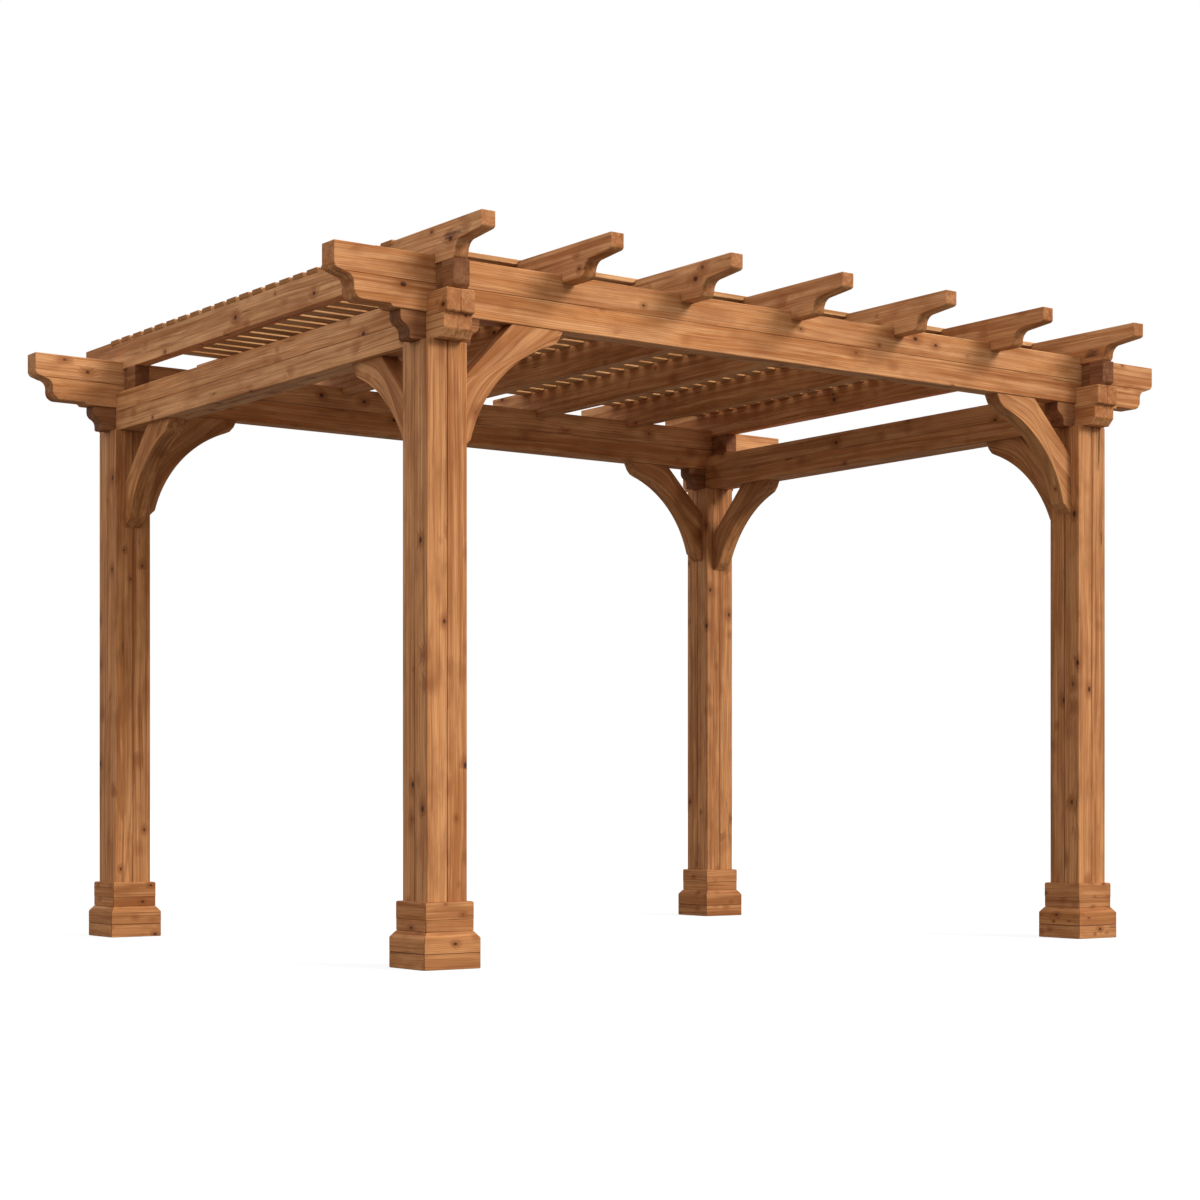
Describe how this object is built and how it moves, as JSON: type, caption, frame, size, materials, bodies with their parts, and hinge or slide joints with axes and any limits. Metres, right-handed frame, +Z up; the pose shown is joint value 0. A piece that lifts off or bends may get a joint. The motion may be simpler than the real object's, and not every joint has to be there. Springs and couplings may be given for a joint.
{
  "type": "timber pergola",
  "caption": "Free-standing timber pergola: four boxed posts, arched braces, scroll-cut beams and rafters, and a slatted open roof.",
  "frame": {"origin": "on the ground, midway between the four posts", "axes": "+X along the main beams to the right, +Y along the rafters to the back, +Z up"},
  "size_m": [4.648, 3.618, 2.926],
  "materials": {
    "posts": "satin",
    "base_boards": "satin",
    "beams": "satin",
    "blocks": "satin",
    "braces": "satin",
    "rafters": "satin",
    "slats": "satin"
  },
  "bodies": {
    "root": {"post_front_left": "posts", "post_front_right": "posts", "post_back_left": "posts", "post_back_right": "posts", "plinth_front_left": "base_boards", "plinth_front_right": "base_boards", "plinth_back_left": "base_boards", "plinth_back_right": "base_boards", "collar_front_left": "base_boards", "collar_front_right": "base_boards", "collar_back_left": "base_boards", "collar_back_right": "base_boards", "main_beam_front": "beams", "main_beam_back": "beams", "side_beam_left_outer": "beams", "side_beam_left_inner": "beams", "side_beam_right_inner": "beams", "side_beam_right_outer": "beams", "corbels_front_left": "blocks", "corbels_front_right": "blocks", "corbels_back_left": "blocks", "corbels_back_right": "blocks", "brace_front_left_x": "braces", "brace_front_right_x": "braces", "brace_back_left_x": "braces", "brace_back_right_x": "braces", "brace_front_left_y": "braces", "brace_front_right_y": "braces", "brace_back_left_y": "braces", "brace_back_right_y": "braces", "blocks_front_left": "blocks", "blocks_front_right": "blocks", "blocks_back_left": "blocks", "blocks_back_right": "blocks", "rafter_1": "rafters", "rafter_2": "rafters", "rafter_3": "rafters", "rafter_4": "rafters", "rafter_5": "rafters", "rafter_6": "rafters", "rafter_7": "rafters", "slats_front": "slats", "slats_middle_front": "slats", "slats_middle_back": "slats", "slats_back": "slats"}
  },
  "joints": []
}
